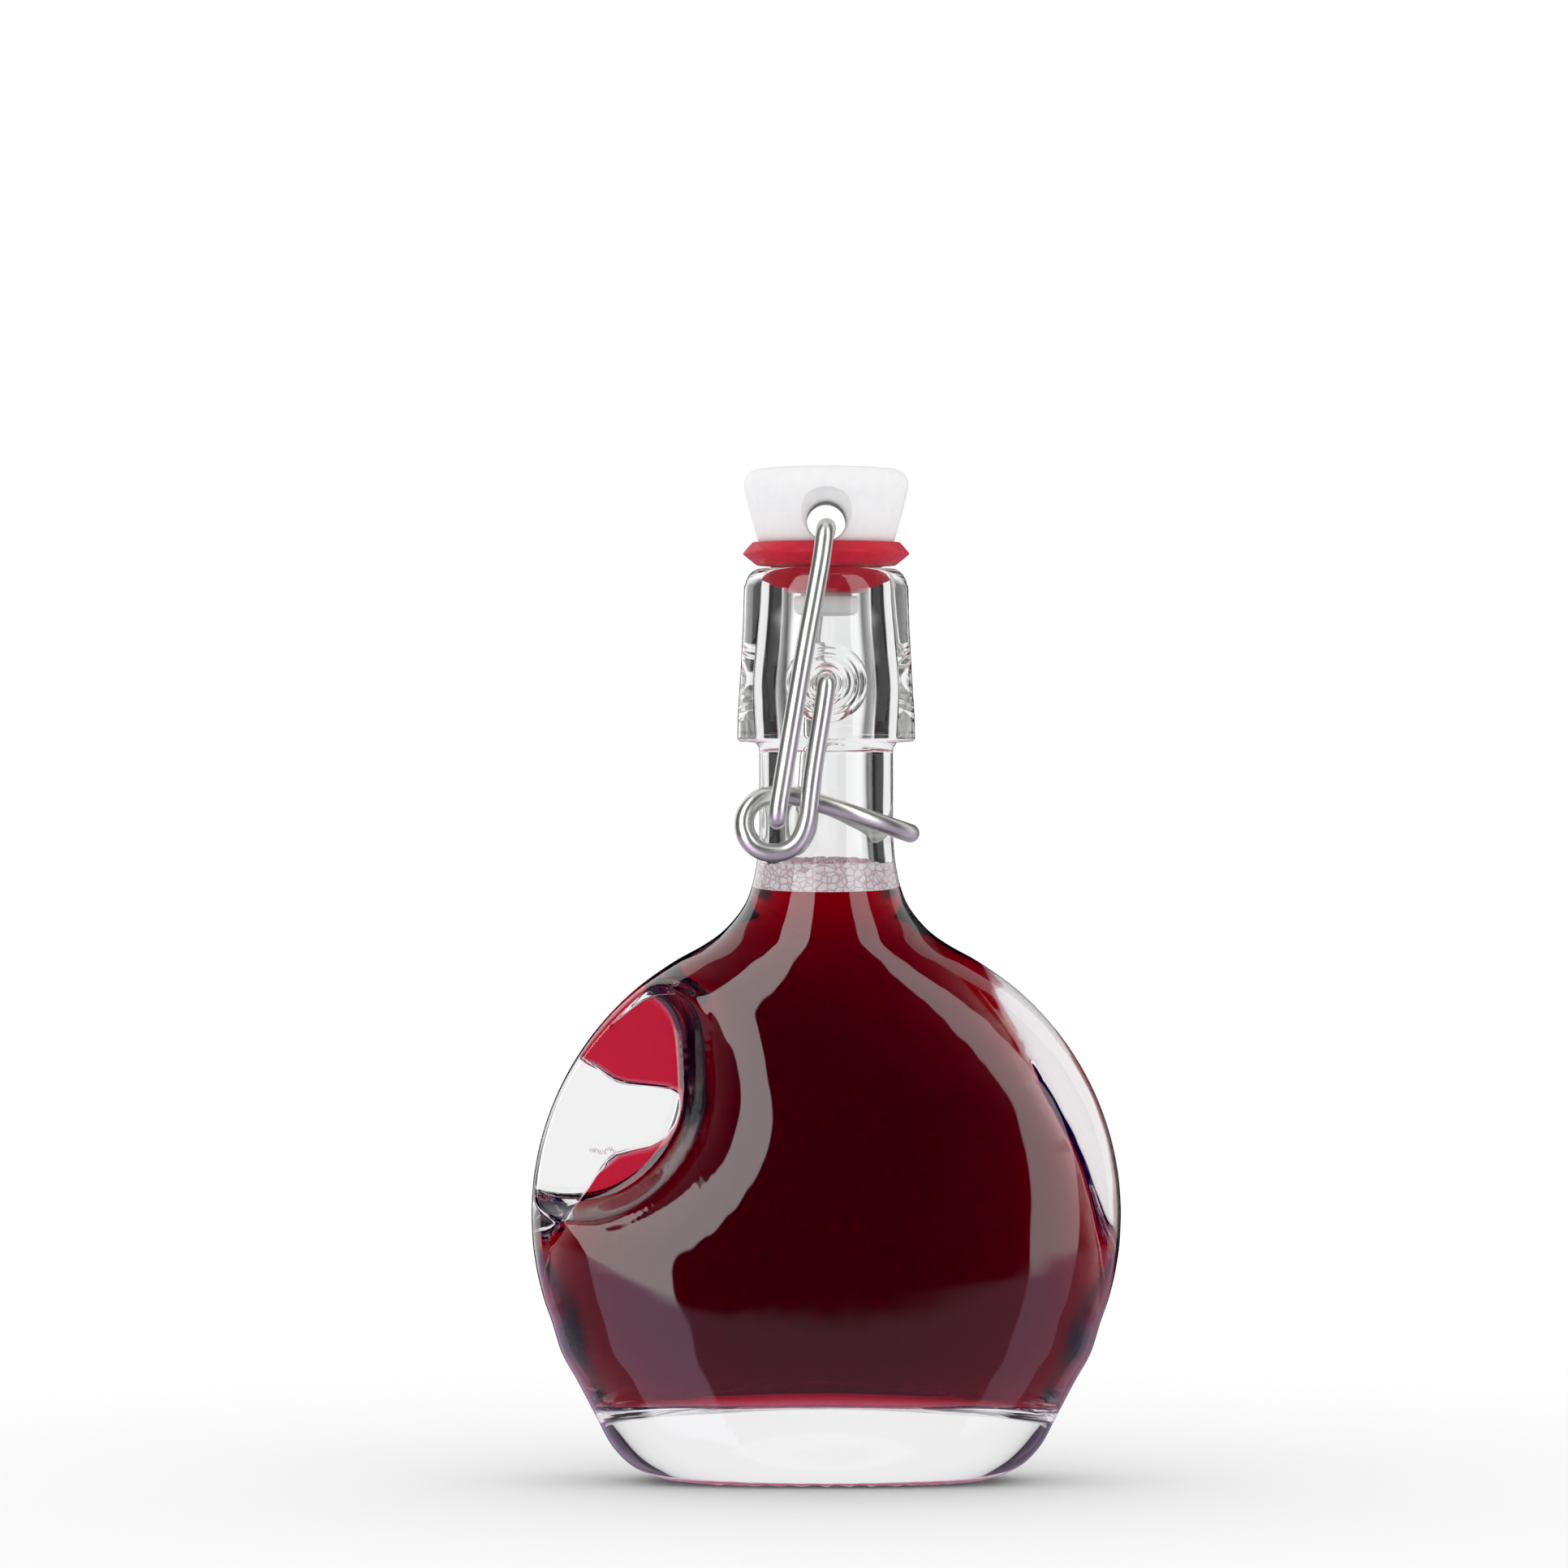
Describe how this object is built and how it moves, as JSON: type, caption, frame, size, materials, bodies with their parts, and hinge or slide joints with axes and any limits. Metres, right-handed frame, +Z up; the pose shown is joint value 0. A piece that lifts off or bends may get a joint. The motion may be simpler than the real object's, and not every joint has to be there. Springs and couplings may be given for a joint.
{
  "type": "swing top bottle",
  "caption": "Small flat round glass flask of red syrup with a hinged wire lever and bail that clamp a plastic stopper and rubber gasket on its mouth.",
  "frame": {"origin": "centre of the foot, on the surface the bottle stands on", "axes": "+Z up the neck, wide faces towards -Y and +Y, +X towards the side the lever's handle lies on when shut"},
  "size_m": [0.0634, 0.0284, 0.1092],
  "materials": {
    "clear_glass": "polished",
    "red_syrup": "gloss",
    "pink_foam": "satin",
    "white_plastic": "satin",
    "red_rubber": "satin",
    "polished_steel": "polished"
  },
  "bodies": {
    "bottle": {"bottle_glass": "clear_glass", "liquid_fill": "red_syrup", "foam_layer": "pink_foam"},
    "lever": {"lever_wire": "polished_steel"},
    "bail": {"bail_wire": "polished_steel"},
    "stopper": {"stopper_head": "white_plastic", "gasket": "red_rubber"}
  },
  "joints": [
    {"name": "lever_swing", "type": "hinge", "parent": "bottle", "child": "lever", "pos_m": [0, 0, 0.0858], "axis": [0, -1, 0], "range_deg": [0, 160], "deforming": ["gasket"]},
    {"name": "bail_swing", "type": "hinge", "parent": "lever", "child": "bail", "pos_m": [-0.00525, 0, 0.07115], "axis": [0, -1, 0], "range_deg": [-90, 0]},
    {"name": "stopper_swing", "type": "hinge", "parent": "bail", "child": "stopper", "pos_m": [0, 0, 0.1023], "axis": [0, -1, 0], "range_deg": [-71, 0]}
  ],
  "couplings": [
    {"joint": "bail_swing", "follows": "lever_swing", "ratio": -0.56},
    {"joint": "stopper_swing", "follows": "lever_swing", "ratio": -0.44}
  ]
}
